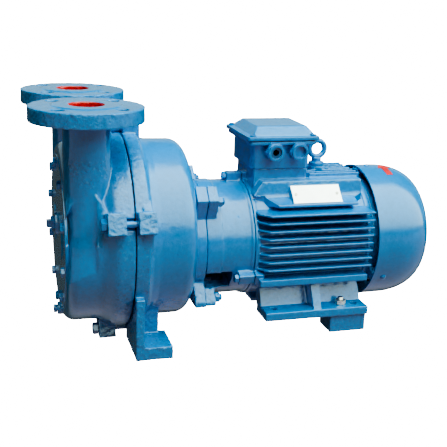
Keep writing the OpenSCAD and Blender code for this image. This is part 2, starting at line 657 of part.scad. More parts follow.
port_cover();
end_plate();
end_plate_gasket();
end_plate_bolts();
service_plug();
drain_plug();
port_plate();
flap_clamp();
discharge_flap();
cover_gasket();
pump_casing();
casing_bolts();
seal_seat();
seal_rotor();
slinger();
shaft();
impeller();
impeller_nut();
impeller_washer();
impeller_key();
flange_bolts();
drive_end_shield();
shield_screws();
front_bearing_outer();
front_bearing_inner();
rear_bearing_outer();
rear_bearing_inner();
bearing_balls();
motor_frame();
stator_core();
stator_winding();
rotor_core();
fan_end_shield();
fan_shield_screws();
fan();
fan_clip();
fan_cover();
fan_cover_screws();
rotation_arrow();
terminal_box();
terminal_box_gasket();
terminal_box_lid();
lid_screws();
terminal_board();
terminal_studs();
cable_gland();
gland_insert();
blanking_plug();
lifting_eye();
nameplate();
nameplate_rivets();
near_support_block();
far_support_block();
support_block_bolts();
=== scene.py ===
import math
import bpy
import bmesh
import numpy as np
from mathutils import Matrix, Vector


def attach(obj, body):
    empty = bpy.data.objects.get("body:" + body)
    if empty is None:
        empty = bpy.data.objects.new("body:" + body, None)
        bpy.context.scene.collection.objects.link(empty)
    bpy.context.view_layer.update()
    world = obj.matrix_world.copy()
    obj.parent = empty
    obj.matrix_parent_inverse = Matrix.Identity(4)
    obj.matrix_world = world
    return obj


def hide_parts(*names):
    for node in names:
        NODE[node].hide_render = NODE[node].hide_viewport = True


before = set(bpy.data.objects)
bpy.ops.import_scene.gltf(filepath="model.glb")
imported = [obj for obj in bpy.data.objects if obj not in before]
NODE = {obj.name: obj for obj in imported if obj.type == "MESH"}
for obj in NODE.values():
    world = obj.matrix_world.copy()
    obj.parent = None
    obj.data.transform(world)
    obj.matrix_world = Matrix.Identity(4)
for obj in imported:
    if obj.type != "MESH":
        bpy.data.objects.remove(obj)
bpy.context.view_layer.update()
scene = bpy.context.scene
MM = 0.001
X0 = 182.75          # the joint plane between cover and casing, in mm along the frame's X


def P(x, y, z):
    """A point in millimetres, X measured from the joint plane, as a frame point in metres."""
    return Vector(((x - X0) * MM, y * MM, z * MM))


# ---------------------------------------------------------------- camera ---
def make_camera():
    a, p, r = math.radians(16.71), math.radians(16.29), math.radians(2.19)
    fwd = Vector((math.sin(a) * math.cos(p), math.cos(a) * math.cos(p), -math.sin(p)))
    right0 = Vector((math.cos(a), -math.sin(a), 0.0))
    up0 = right0.cross(fwd)
    right = math.cos(r) * right0 + math.sin(r) * up0
    up = -math.sin(r) * right0 + math.cos(r) * up0
    cam = bpy.data.objects.new("camera", bpy.data.cameras.new("camera"))
    scene.collection.objects.link(cam)
    cam.data.sensor_width = 36.0
    cam.data.lens = 65.41
    cam.data.clip_end = 200.0
    m = Matrix((right, up, -fwd)).transposed().to_4x4()
    m.translation = Vector((-0.38112, -1.24157, 0.54103))
    cam.matrix_world = m
    scene.camera = cam


make_camera()
scene.view_settings.view_transform = "AgX"
scene.view_settings.look = "AgX - High Contrast"


# ----------------------------------------------------------- node helpers ---
class Tree:
    """Short-hand for building a node tree."""

    def __init__(self, nt):
        self.nt = nt
        self.nt.nodes.clear()

    def new(self, kind, **values):
        n = self.nt.nodes.new(kind)
        for k, v in values.items():
            if k.startswith("i_"):
                self.put(n.inputs[k[2:].replace("_", " ")], v)
            else:
                setattr(n, k, v)
        return n

    def put(self, socket, v):
        if isinstance(v, bpy.types.NodeSocket):
            self.nt.links.new(v, socket)
        else:
            socket.default_value = v

    def math(self, op, a, b=None, c=None, clamp=False):
        n = self.nt.nodes.new("ShaderNodeMath")
        n.operation = op
        n.use_clamp = clamp
        for i, v in enumerate((a, b, c)):
            if v is not None:
                self.put(n.inputs[i], v)
        return n.outputs[0]

    def ramp(self, v, lo, hi, out_lo=0.0, out_hi=1.0, smooth=True):
        n = self.nt.nodes.new("ShaderNodeMapRange")
        n.interpolation_type = "SMOOTHSTEP" if smooth else "LINEAR"
        n.clamp = True
        self.put(n.inputs["Value"], v)
        n.inputs["From Min"].default_value = lo
        n.inputs["From Max"].default_value = hi
        n.inputs["To Min"].default_value = out_lo
        n.inputs["To Max"].default_value = out_hi
        return n.outputs["Result"]

    def mix(self, fac, a, b):
        n = self.nt.nodes.new("ShaderNodeMix")
        n.data_type = "RGBA"
        self.put(n.inputs[0], fac)
        for i, v in ((6, a), (7, b)):
            if not isinstance(v, bpy.types.NodeSocket) and len(v) == 3:
                v = (*v, 1.0)
            self.put(n.inputs[i], v)
        return n.outputs[2]

    def noise(self, co, scale, detail=2.0, rough=0.5, distortion=0.0):
        n = self.nt.nodes.new("ShaderNodeTexNoise")
        self.put(n.inputs["Vector"], co)
        n.inputs["Scale"].default_value = scale
        n.inputs["Detail"].default_value = detail
        n.inputs["Roughness"].default_value = rough
        n.inputs["Distortion"].default_value = distortion
        return n.outputs["Fac"]

    def mapped(self, co, scale):
        n = self.nt.nodes.new("ShaderNodeMapping")
        self.put(n.inputs["Vector"], co)
        n.inputs["Scale"].default_value = scale
        return n.outputs["Vector"]

    def bump(self, height, distance, strength=1.0, normal=None):
        n = self.nt.nodes.new("ShaderNodeBump")
        n.inputs["Distance"].default_value = distance
        self.put(n.inputs["Strength"], strength)
        self.put(n.inputs["Height"], height)
        if normal is not None:
            self.put(n.inputs["Normal"], normal)
        return n.outputs["Normal"]


def material(name):
    m = bpy.data.materials.new(name)
    m.use_nodes = True
    t = Tree(m.node_tree)
    out = t.new("ShaderNodeOutputMaterial")
    b = t.new("ShaderNodeBsdfPrincipled")
    t.nt.links.new(b.outputs["BSDF"], out.inputs["Surface"])
    co = t.new("ShaderNodeTexCoord").outputs["Object"]
    return m, t, b, co


BLUE = (0.0045, 0.220, 0.500)


def scaled(c, k):
    return tuple(v * k for v in c)


# ----------------------------------------------------------------- paint ---
def paint(name, grain=1.0, peel=1.0, streak=0.0, use_rough=False, bores=False, gloss=0.10, tint=BLUE):
    """Gloss enamel on cast iron or sheet: colour drift, orange peel, cast grain where it is rough."""
    m, t, b, co = material(name)
    drift = t.noise(co, 9.0, 3.0, 0.55)
    mottle = t.noise(co, 130.0, 5.0, 0.62)
    fine = t.noise(co, 820.0, 2.0, 0.5)
    lumps = t.noise(co, 210.0, 4.0, 0.55, 0.25)
    if use_rough:
        rough = t.new("ShaderNodeAttribute", attribute_name="rough").outputs["Fac"]
    else:
        rough = 0.25
    colour = t.mix(t.ramp(drift, 0.3, 0.7), scaled(tint, 0.93), scaled(tint, 1.06))
    patch = t.math("MULTIPLY_ADD", rough, 0.35, 0.16)
    colour = t.mix(t.math("MULTIPLY", t.ramp(mottle, 0.42, 0.72), patch), colour, scaled(tint, 1.24))
    colour = t.mix(t.math("MULTIPLY", t.ramp(mottle, 0.50, 0.28), patch), colour, scaled(tint, 0.66))
    # painted highlight on the crowns of the cast grain and painted shade in the hollows between them
    uneven = t.math("MULTIPLY", rough, t.math("MULTIPLY_ADD", rough, 0.6, 0.4))
    grain_painted_highlight = t.math("MULTIPLY", t.ramp(lumps, 0.54, 0.74), uneven)
    grain_painted_shade = t.math("MULTIPLY", t.ramp(lumps, 0.44, 0.26), rough)
    # lighter blue on the grain crowns: painted highlight
    colour = t.mix(t.math("MULTIPLY", grain_painted_highlight, 0.8), colour, (0.045, 0.32, 0.58, 1.0))
    # darker blue in the hollows between grains: painted shade
    colour = t.mix(t.math("MULTIPLY", grain_painted_shade, 0.75), colour, scaled(tint, 0.48))
    rgh = t.ramp(mottle, 0.25, 0.75, 0.26, 0.44, smooth=False)
    rgh = t.math("MULTIPLY_ADD", rough, 0.10, rgh)
    peel_n = t.bump(fine, 0.00005 * peel, 0.8)
    wave_n = t.bump(mottle, 0.00028 * grain, 0.55, peel_n)
    strength = t.math("MULTIPLY_ADD", rough, 0.75 * min(grain, 1.3), 0.06)
    grain_n = t.bump(lumps, 0.0011, strength, wave_n)
    if streak > 0:
        lines = t.noise(t.mapped(co, (520.0, 10.0, 10.0)), 1.0, 4.0, 0.6)
        grain_n = t.bump(lines, 0.00012 * streak, 0.7, grain_n)
    coat = t.bump(lumps, 0.0013, t.math("MULTIPLY_ADD", uneven, 0.75, 0.02), t.bump(mottle, 0.00022 * grain, 0.5, t.bump(fine, 0.00004 * peel, 0.6)))
    metal = None
    if bores:
        # primer left bare inside the ports, with the uneven edge a brush leaves
        xyz = t.new("ShaderNodeSeparateXYZ", i_Vector=co).outputs
        dx = t.math("SUBTRACT", xyz[0], (-61 - X0) * MM)
        dy = t.math("SUBTRACT", t.math("ABSOLUTE", xyz[1]), 0.092)
        d = t.math("SQRT", t.math("ADD", t.math("MULTIPLY", dx, dx), t.math("MULTIPLY", dy, dy)))
        d = t.math("MULTIPLY_ADD", t.noise(co, 60.0, 2.0), 0.0024, d)
        inside = t.math("MULTIPLY", t.ramp(d, 0.0275, 0.0269), t.ramp(xyz[2], 0.250, 0.255))
        red = t.mix(t.ramp(mottle, 0.3, 0.7), (0.40, 0.010, 0.012, 1.0), (0.58, 0.022, 0.020, 1.0))
        colour = t.mix(inside, colour, red)
        rgh = t.math("MULTIPLY_ADD", inside, 0.16, rgh)
    t.put(b.inputs["Base Color"], colour)
    t.put(b.inputs["Roughness"], rgh)
    t.put(b.inputs["Normal"], grain_n)
    t.put(b.inputs["Coat Normal"], coat)
    b.inputs["IOR"].default_value = 1.5
    b.inputs["Specular IOR Level"].default_value = 0.22
    b.inputs["Coat Weight"].default_value = 1.0
    b.inputs["Coat Roughness"].default_value = gloss
    b.inputs["Coat IOR"].default_value = 1.7
    return m


def metal(name, low, high, r_lo, r_hi, scale=160.0, lines=None, line_depth=0.00004, bump=0.00006, metallic=1.0):
    m, t, b, co = material(name)
    n = t.noise(co, scale, 5.0, 0.6)
    big = t.noise(co, scale * 0.18, 3.0, 0.5)
    t.put(b.inputs["Base Color"], t.mix(t.ramp(t.math("MULTIPLY_ADD", big, 0.5, t.math("MULTIPLY", n, 0.5)), 0.35, 0.65), low, high))
    t.put(b.inputs["Roughness"], t.ramp(n, 0.3, 0.7, r_lo, r_hi, smooth=False))
    nrm = t.bump(n, bump, 0.7)
    if lines is not None:
        nrm = t.bump(t.noise(t.mapped(co, lines), 1.0, 3.0, 0.55), line_depth, 0.8, nrm)
    t.put(b.inputs["Normal"], nrm)
    b.inputs["Metallic"].default_value = metallic
    return m


def plain(name, low, high, r_lo, r_hi, scale=220.0, bump=0.00008, coat=0.0, ior=1.5):
    m, t, b, co = material(name)
    n = t.noise(co, scale, 5.0, 0.6)
    big = t.noise(co, scale * 0.12, 3.0, 0.5)
    t.put(b.inputs["Base Color"], t.mix(t.ramp(t.math("MULTIPLY_ADD", big, 0.6, t.math("MULTIPLY", n, 0.4)), 0.36, 0.64), low, high))
    t.put(b.inputs["Roughness"], t.ramp(n, 0.3, 0.7, r_lo, r_hi, smooth=False))
    t.put(b.inputs["Normal"], t.bump(n, bump, 0.7))
    b.inputs["IOR"].default_value = ior
    b.inputs["Coat Weight"].default_value = coat
    b.inputs["Coat Roughness"].default_value = 0.12
    return m


def lamination_material():
    m, t, b, co = material("lamination")
    x = t.new("ShaderNodeSeparateXYZ", i_Vector=co).outputs[0]
    sheets = t.math("ABSOLUTE", t.math("SUBTRACT", t.math("FRACT", t.math("MULTIPLY", x, 1000.0)), 0.5))
    n = t.noise(co, 90.0, 4.0, 0.6)
    t.put(b.inputs["Base Color"], t.mix(t.ramp(sheets, 0.36, 0.5), t.mix(n, (0.22, 0.22, 0.23), (0.34, 0.34, 0.35)), (0.05, 0.05, 0.055)))
    t.put(b.inputs["Roughness"], t.ramp(n, 0.3, 0.7, 0.35, 0.55))
    t.put(b.inputs["Normal"], t.bump(t.ramp(sheets, 0.5, 0.3), 0.00012, 0.8))
    b.inputs["Metallic"].default_value = 0.85
    return m


def winding_material():
    m, t, b, co = material("winding")
    xyz = t.new("ShaderNodeSeparateXYZ", i_Vector=co).outputs
    ang = t.math("ARCTAN2", t.math("SUBTRACT", xyz[2], 0.142), xyz[1])
    wob = t.noise(co, 45.0, 3.0, 0.6)
    wires = t.math("SINE", t.math("ADD", t.math("MULTIPLY_ADD", xyz[0], 3600.0, t.math("MULTIPLY", wob, 14.0)), t.math("MULTIPLY", ang, 22.0)))
    n = t.noise(co, 300.0, 3.0, 0.5)
    copper = t.mix(n, (0.36, 0.13, 0.045), (0.58, 0.25, 0.085))
    t.put(b.inputs["Base Color"], t.mix(t.ramp(wires, -0.4, -1.0), copper, (0.09, 0.03, 0.012)))
    t.put(b.inputs["Roughness"], t.ramp(n, 0.3, 0.7, 0.22, 0.4))
    t.put(b.inputs["Normal"], t.bump(wires, 0.00035, 0.9))
    b.inputs["Coat Weight"].default_value = 0.8
    b.inputs["Coat Roughness"].default_value = 0.15
    return m


def plate_material():
    """White coated aluminium sheet: faint brushing, handling smudges, a little grey along the brushing."""
    m, t, b, co = material("white_plate")
    brush = t.noise(t.mapped(co, (14.0, 900.0, 900.0)), 1.0, 3.0, 0.6)
    smudge = t.noise(co, 42.0, 4.0, 0.6)
    c = t.mix(t.ramp(smudge, 0.45, 0.75), (0.97, 0.97, 0.965), (0.92, 0.925, 0.925))
    c = t.mix(t.math("MULTIPLY", t.ramp(brush, 0.55, 0.8), 0.25), c, (0.74, 0.76, 0.77))
    t.put(b.inputs["Base Color"], c)
    t.put(b.inputs["Roughness"], t.ramp(smudge, 0.3, 0.7, 0.24, 0.40))
    t.put(b.inputs["Normal"], t.bump(brush, 0.00003, 0.6))
    b.inputs["Metallic"].default_value = 0.75
    b.inputs["Coat Weight"].default_value = 0.4
    b.inputs["Coat Roughness"].default_value = 0.15
    return m


MAT = {
    "cast": paint("cast_enamel", 1.0, 1.0, use_rough=True),
    "cover": paint("cover_enamel", 1.0, 1.0, streak=0.6, use_rough=True, bores=True),
    "box": paint("box_enamel", 0.6, 0.9),
    "sheet": paint("sheet_enamel", 0.35, 0.8, gloss=0.09),
    "fastener": paint("fastener_enamel", 0.7, 1.2),
    "gland": paint("gland_enamel", 0.25, 0.6, gloss=0.07),
    "zinc": metal("zinc_plate", (0.50, 0.49, 0.44), (0.72, 0.71, 0.66), 0.24, 0.46),
    "steel": metal("ground_steel", (0.42, 0.43, 0.44), (0.58, 0.59, 0.60), 0.18, 0.36, lines=(1800.0, 24.0, 24.0)),
    "bronze": metal("cast_bronze", (0.40, 0.24, 0.10), (0.62, 0.40, 0.17), 0.30, 0.55, 120.0, bump=0.0003),
    "brass": metal("turned_brass", (0.66, 0.46, 0.16), (0.82, 0.62, 0.26), 0.16, 0.32),
    "lamination": lamination_material(),
    "winding": winding_material(),
    "rubber": plain("black_rubber", (0.012, 0.012, 0.013), (0.030, 0.030, 0.032), 0.45, 0.72, 300.0, 0.00012),
    "painted_rubber": plain("painted_rubber", (0.006, 0.075, 0.17), (0.020, 0.15, 0.30), 0.30, 0.60, 300.0, 0.00016, 0.5),
    "seal": plain("carbon_face", (0.030, 0.030, 0.032), (0.070, 0.068, 0.066), 0.16, 0.34, 400.0, 0.00002),
    "valve": plain("valve_sheet", (0.60, 0.60, 0.55), (0.76, 0.76, 0.71), 0.34, 0.52, 160.0, 0.00004),
    "fan": plain("fan_nylon", (0.018, 0.019, 0.020), (0.045, 0.046, 0.048), 0.36, 0.58, 420.0, 0.00006),
    "board": plain("terminal_board", (0.16, 0.040, 0.022), (0.27, 0.075, 0.040), 0.28, 0.46, 260.0, 0.00005, 0.3),
    "red": plain("red_vinyl", (0.46, 0.018, 0.020), (0.60, 0.040, 0.034), 0.30, 0.46, 240.0, 0.00003, 0.3),
    "plate": plate_material(),
}


# ---------------------------------------------------------- mesh helpers ---
def link(name, me):
    ob = bpy.data.objects.new(name, me)
    scene.collection.objects.link(ob)
    return ob


def welded(node):
    """A welded copy of a CAD node's mesh, without its split normals."""
    bm = bmesh.new()
    bm.from_mesh(NODE[node].data)
    bmesh.ops.remove_doubles(bm, verts=bm.verts, dist=1e-6)
    me = bpy.data.meshes.new(node + "_mesh")
    bm.to_mesh(me)
    bm.free()
    for a in ("custom_normal", "sharp_edge", "sharp_face"):
        if a in me.attributes:
            me.attributes.remove(me.attributes[a])
    me.materials.clear()
    return me


def bake(ob):
    """Replace the object's mesh by what its modifiers make of it."""
    dg = bpy.context.evaluated_depsgraph_get()
    me = bpy.data.meshes.new_from_object(ob.evaluated_get(dg))
    old = ob.data
    ob.modifiers.clear()
    ob.data = me
    bpy.data.meshes.remove(old)
    return me


def smooth_all(me):
    me.polygons.foreach_set("use_smooth", np.ones(len(me.polygons), dtype=bool))
    me.update()


def points(me):
    co = np.empty(len(me.vertices) * 3)
    me.vertices.foreach_get("co", co)
    return co.reshape(-1, 3)


def mm(co):
    """Points in millimetres with X from the joint plane."""
    q = co * 1000.0
    q[:, 0] += X0
    return q


def wave_noise(q, size, seed, count=14):
    """Smooth seeded noise, about -1 to 1, with lumps of about the given size in mm."""
    rng = np.random.default_rng(seed)
    v = np.zeros(len(q))
    for _ in range(count):
        k = rng.normal(size=3)
        k *= (2 * math.pi / (size * rng.uniform(0.75, 1.6))) / np.linalg.norm(k)
        v += np.sin(q @ k + rng.uniform(0, 2 * math.pi))
    return v / math.sqrt(count) * 1.1


def step(v, lo, hi):
    u = np.clip((v - lo) / (hi - lo), 0.0, 1.0)
    return u * u * (3 - 2 * u)


def ready(ob, mat, node=None, body="pump"):
    ob.data.materials.clear()
    ob.data.materials.append(MAT[mat])
    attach(ob, body)
    if node:
        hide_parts(node)
    return ob


def cast_piece(node, rough, voxel=1.4, passes=5, faces=60000, lump=0.30, wave=0.25, mat="cast", seed=1, first=None, reshape=None, blend=None):
    """A casting made from a CAD node: corners rounded over, skin uneven as sand leaves it."""
    ob = link(node + "_casting", welded(node))
    if first is not None:
        co = points(ob.data)
        q = mm(co.copy())
        co = co + (first(q.copy()) - q) * MM
        ob.data.vertices.foreach_set("co", co.ravel())
        ob.data.update()
    r = ob.modifiers.new("voxel", "REMESH")
    r.mode = "VOXEL"
    r.voxel_size = voxel * MM
    r.adaptivity = 0.0
    s = ob.modifiers.new("round", "SMOOTH")
    s.factor = 0.5
    s.iterations = passes
    me = bake(ob)
    if reshape is not None:
        co = points(me)
        q = mm(co.copy())
        nrm = np.empty(len(me.vertices) * 3)
        me.vertex_normals.foreach_get("vector", nrm)
        co = co + (reshape(q.copy(), nrm.reshape(-1, 3)) - q) * MM
        me.vertices.foreach_set("co", co.ravel())
        me.update()
    if blend is not None:
        k = blend(mm(points(me)))
        g = ob.vertex_groups.new(name="blend")
        for lo, hi, value in ((0.15, 0.5, 0.33), (0.5, 0.85, 0.66), (0.85, 1.01, 1.0)):
            g.add(np.nonzero((k >= lo) & (k < hi))[0].tolist(), value, "REPLACE")
        s = ob.modifiers.new("blend", "SMOOTH")
        s.vertex_group = "blend"
        s.factor = 0.5
        s.iterations = 130
        me = bake(ob)
    co = points(me)
    q = mm(co.copy())
    nrm = np.empty(len(me.vertices) * 3)
    me.vertex_normals.foreach_get("vector", nrm)
    nrm = nrm.reshape(-1, 3)
    w = rough(q)
    d = w * lump * (0.62 * wave_noise(q, 9.0, seed) + 0.5 * wave_noise(q, 4.6, seed + 1) + 0.9)
    d += wave * (0.6 * wave_noise(q, 42.0, seed + 2) + 0.7) * 0.5
    co -= nrm * (np.clip(d, 0.0, 2.0) * MM)[:, None]
    ref = points(NODE[node].data)
    lo, hi = ref.min(axis=0), ref.max(axis=0)
    me.vertices.foreach_set("co", np.clip(co, lo, hi).ravel())
    me.update()
    tris = sum(len(p.vertices) - 2 for p in me.polygons)
    if tris > faces:
        k = ob.modifiers.new("reduce", "DECIMATE")
        k.ratio = faces / tris
        me = bake(ob)
    co = np.clip(points(me), lo, hi)
    me.vertices.foreach_set("co", co.ravel())
    q = mm(co)
    a = me.attributes.new("rough", "FLOAT", "POINT")
    a.data.foreach_set("value", rough(q).astype(np.float32))
    smooth_all(me)
    return ready(ob, mat, node)


def edged_piece(node, mat, width=0.8, segments=2, angle=28.0, body="pump", dissolve=0.5):
    """A machined or pressed piece made from a CAD node: same shape, edges broken."""
    ob = link(node + "_piece", welded(node))
    smooth_all(ob.data)
    if dissolve:
        k = ob.modifiers.new("faces", "DECIMATE")
        k.decimate_type = "DISSOLVE"
        k.angle_limit = math.radians(dissolve)
    v = ob.modifiers.new("edges", "BEVEL")
    v.width = width * MM
    v.segments = segments
    v.limit_method = "ANGLE"
    v.angle_limit = math.radians(angle)
    v.miter_outer = "MITER_ARC"
    v.harden_normals = False
    v.use_clamp_overlap = True
    n = ob.modifiers.new("normals", "WEIGHTED_NORMAL")
    n.keep_sharp = True
    n.weight = 60
    bake(ob)
    return ready(ob, mat, node, body)


def soft_node(node, mat, angle=40.0, body="pump"):
    """A piece with the CAD node's own shape, shaded smooth across its facets."""
    ob = link(node + "_piece", welded(node))
    smooth_all(ob.data)
    ob.data.set_sharp_from_angle(angle=math.radians(angle))
    return ready(ob, mat, node, body)


def frame_axes(axis):
    z = Vector(axis).normalized()
    x = z.orthogonal().normalized()
    return x, z.cross(x), z


class Solid:
    """Collects turned and hexagonal solids into one mesh."""

    def __init__(self):
        self.bm = bmesh.new()

    def rings(self, base, axis, rows, turn=0.0, seg=48):
        """rows are (height, radius or function of angle); the ends are closed."""
        x, y, z = frame_axes(axis)
        loops = []
        for h, r in rows:
            loop = []
            for i in range(seg):
                a = 2 * math.pi * i / seg + turn
                rr = r(a - turn) if callable(r) else r
                loop.append(self.bm.verts.new(base + z * (h * MM) + (x * math.cos(a) + y * math.sin(a)) * (rr * MM)))
            loops.append(loop)
        for lo, hi in zip(loops, loops[1:]):
            for i in range(seg):
                j = (i + 1) % seg
                self.bm.faces.new((lo[i], lo[j], hi[j], hi[i]))
        for loop, h, flip in ((loops[0], rows[0][0], True), (loops[-1], rows[-1][0], False)):
            c = self.bm.verts.new(base + z * (h * MM))
            for i in range(seg):
                j = (i + 1) % seg
                self.bm.faces.new((c, loop[j], loop[i]) if flip else (c, loop[i], loop[j]))

    def turned(self, base, axis, rows, seg=48):
        self.rings(base, axis, rows, 0.0, seg)

    def hexagon(self, base, axis, af, height, turn=0.0, both=False, washer=0.5, dish=0.0):
        """Hexagon head or nut with chamfered corners and a washer face under it."""
        half = af / 2
        flats = [math.pi / 6 + math.pi / 3 * i for i in range(6)]

        def hexr(a):
            s = sum(max(0.0, math.cos(a - f)) ** 70 for f in flats)
            return half / s ** (1 / 70)

        r0 = half * 0.94
        t30 = math.tan(math.radians(30))
        rows_n = 6
        x, y, z = frame_axes(axis)
        seg = 72
        loops = []

        def loop(fr, fh):
            out = []
            for i in range(seg):
                a = 2 * math.pi * i / seg
                h, r = fh(a), fr(a)
                b = a + turn
                out.append(self.bm.verts.new(base + z * (h * MM) + (x * math.cos(b) + y * math.sin(b)) * (r * MM)))
            loops.append(out)

        drop = lambda a: max(0.0, hexr(a) - r0) * t30
        loop(lambda a: r0 * 0.985, lambda a: 0.0)
        loop(lambda a: r0 * 0.985, lambda a: washer)
        if both:
            loop(lambda a: r0, lambda a: washer)
            loop(hexr, lambda a: washer + drop(a))
        else:
            loop(hexr, lambda a: washer)
            loop(hexr, lambda a: washer + 0.25)
        loop(hexr, lambda a: height - drop(a) - 0.2)
        loop(lambda a: hexr(a) * 0.994, lambda a: height - drop(a))
        loop(lambda a: r0, lambda a: height - 0.06)
        loop(lambda a: r0 * 0.96, lambda a: height)
        if dish:
            loop(lambda a: r0 * 0.9, lambda a: height)
            loop(lambda a: r0 * 0.82, lambda a: height - dish)
        for lo, hi in zip(loops, loops[1:]):
            for i in range(seg):
                j = (i + 1) % seg
                self.bm.faces.new((lo[i], lo[j], hi[j], hi[i]))
        top = height - dish if dish else height
        for lp, h, flip in ((loops[0], 0.0, True), (loops[-1], top, False)):
            c = self.bm.verts.new(base + z * (h * MM))
            for i in range(seg):
                j = (i + 1) % seg
                self.bm.faces.new((c, lp[j], lp[i]) if flip else (c, lp[i], lp[j]))

    def thread(self, base, axis, radius, length, pitch=1.5, seg=32, tip=1.0):
        """Threaded end: grooves as rings close enough to read as a thread, with a chamfered tip."""
        rows, h = [(0.0, radius)], 0.0
        depth = pitch * 0.42
        while h + pitch < length - tip:
            rows += [(h + pitch * 0.5, radius - depth), (h + pitch, radius)]
            h += pitch
        rows += [(length - tip, radius - depth * 0.4), (length, radius - depth - tip * 0.5)]
        self.turned(base, axis, rows, seg)

    def mesh(self, name, angle=32.0):
        bmesh.ops.recalc_face_normals(self.bm, faces=self.bm.faces)
        me = bpy.data.meshes.new(name)
        self.bm.to_mesh(me)
        self.bm.free()
        smooth_all(me)
        me.set_sharp_from_angle(angle=math.radians(angle))
        return link(name, me)


# -------------------------------------------------------------- castings ---
def rough_cover(q):
    x, y, z = q.T
    r = np.hypot(y, z - 164.0)
    port = np.hypot(x + 61.0, np.abs(y) - 92.0)
    w = np.full(len(q), 0.22)
    w = np.maximum(w, 0.9 * step(r, 155.0, 158.5) * (z < 300))
    w = np.maximum(w, 0.75 * step(x, -32.0, -24.0) * step(r, 146.0, 151.0))
    flange = z > 350.5
    w = np.where(flange, np.maximum(0.30, 0.90 * step(port, 76.0, 80.5)), w)
    w = np.where(flange & (z < 354.0), 0.7, w)
    w = np.where((port < 27.0) & (z > 255.0), 0.15, w)
    return w


def neck_into_cover(q, n):
    """Let the body grow out of the neck slowly on the end plate's side, with no shoulder."""
    x, z, y = q[:, 0], q[:, 2], np.abs(q[:, 1])
    neck = 92.0 + np.sqrt(np.clip(34.1 ** 2 - (x + 61.0) ** 2, 0.0, None))
    arch = np.interp(x, (-96.0, -88.0, -78.0, -68.0, -60.3), (205.0, 228.0, 247.0, 257.0, 258.9))
    front = np.minimum(142.5, 142.5 - (z - 176.0) * 0.1918)
    grown = neck + np.clip(front - neck, 0.0, None) * np.clip((arch - z) / 150.0, 0.0, 1.0)
    outer = (x > -97.5) & (x < -54.0) & (z > 106.0) & (z < arch + 2.0) & (y > neck - 1.0) & (n[:, 1] * np.sign(q[:, 1]) > -0.15)
    q[:, 1] = np.where(outer, np.sign(q[:, 1]) * np.minimum(y, np.maximum(grown, neck)), q[:, 1])
    return q


def flat_toes(q):
    """The tops of the feet's toes are level up to the web."""
    x, z, y = q[:, 0], q[:, 2], np.abs(q[:, 1])
    q[:, 2] = np.where((np.abs(y - 98.0) < 0.3) & (np.abs(z - 31.44) < 0.5), 20.05, z)
    return q


def blend_cover(q):
    """Where the necks run down into the body of the cover."""
    x, y, z = q.T
    return step(x, -50.0, -60.0) * step(z, 172.0, 190.0) * step(z, 292.0, 272.0) * step(np.abs(y), 96.0, 106.0)


def rough_casing(q):
    x, y, z = q.T
    r = np.hypot(y, z - 164.0)
    w = np.full(len(q), 0.25)
    w = np.maximum(w, 0.8 * step(x, 30.0, 23.0) * step(r, 148.0, 152.0))
    w = np.maximum(w, 0.95 * step(r, 157.0, 160.0))
    w = np.maximum(w, np.where(z > 120.0, 0.35, 1.0) * step(x, 102.5, 105.0))
    w = np.maximum(w, 1.0 * step(z, 92.0, 76.0) * step(np.abs(y), 84.0, 96.0))
    return w


def rough_shield(q):
    x, y, z = q.T
    w = np.full(len(q), 0.30)
    w = np.maximum(w, np.where(z > 120.0, 0.35, 1.0) * step(x, 142.0, 139.0))
    w = np.maximum(w, 0.8 * step(np.hypot(y, z - 142.0), 97.0, 99.0))
    return w


def rough_frame(q):
    x, y, z = q.T
    w = np.full(len(q), 0.22)
    w = np.maximum(w, 0.55 * step(z, 88.0, 80.0) * step(np.abs(y), 50.0, 60.0))
    w = np.maximum(w, 0.45 * step(z, 212.0, 222.0))
    w = np.maximum(w, 0.75 * step(x, 216.0, 212.0) * step(np.hypot(y, z - 142.0), 98.0, 100.0))
    return w


def const(v):
    return lambda q: np.full(len(q), v)


cast_piece("port_cover", rough_cover, 1.2, 5, 110000, mat="cover", seed=11, reshape=neck_into_cover, blend=blend_cover)
cast_piece("pump_casing", rough_casing, 1.25, 4, 90000, lump=0.36, seed=21, first=flat_toes)
cast_piece("drive_end_shield", rough_shield, 1.2, 5, 50000, seed=31)
cast_piece("motor_frame", rough_frame, 0.85, 2, 150000, lump=0.22, wave=0.12, seed=41)
cast_piece("end_plate", const(0.45), 1.2, 4, 26000, lump=0.22, seed=51)
cast_piece("near_support_block", const(0.8), 1.2, 5, 9000, seed=61)
cast_piece("far_support_block", const(0.8), 1.2, 5, 9000, seed=62)
cast_piece("terminal_box", const(0.30), 0.9, 5, 30000, lump=0.15, wave=0.12, seed=71)
cast_piece("terminal_box_lid", const(0.25), 0.9, 5, 30000, lump=0.12, wave=0.14, seed=72)
cast_piece("fan_end_shield", const(0.4), 1.4, 4, 30000, seed=81)
cast_piece("lifting_eye", const(0.25), 0.6, 4, 16000, lump=0.12, wave=0.1, seed=91)

# ------------------------------------------------------------ fasteners ---
AX, AY, AZ = Vector((1, 0, 0)), Vector((0, 1, 0)), Vector((0, 0, 1))


def on(r, a, z):
    return r * math.cos(math.radians(a)), z + r * math.sin(math.radians(a))


s = Solid()
for i in range(10):
    y, z = on(109.0, 18 + 36 * i, 164.0)
    s.hexagon(P(-97, y, z), -AX, 13, 5.5, 0.37 * i, dish=0.35)
    s.turned(P(-97, y, z), AX, [(0, 4.0), (9.5, 4.0), (10.4, 3.2)], 24)
ready(s.mesh("end_plate_bolts_piece"), "fastener", "end_plate_bolts")

s = Solid()
for i, a in enumerate((18, 90, 162, 252, 288)):
    y, z = on(158.0, a, 164.0)
    s.hexagon(P(-41.7, y, z), -AX, 17, 8.3, 0.55 * i + 0.2, dish=0.5)
    s.turned(P(-41.7, y, z), AX, [(0, 5.0), (66, 5.0), (66.7, 4.3)], 24)
ready(s.mesh("casing_bolts_piece"), "fastener", "casing_bolts")

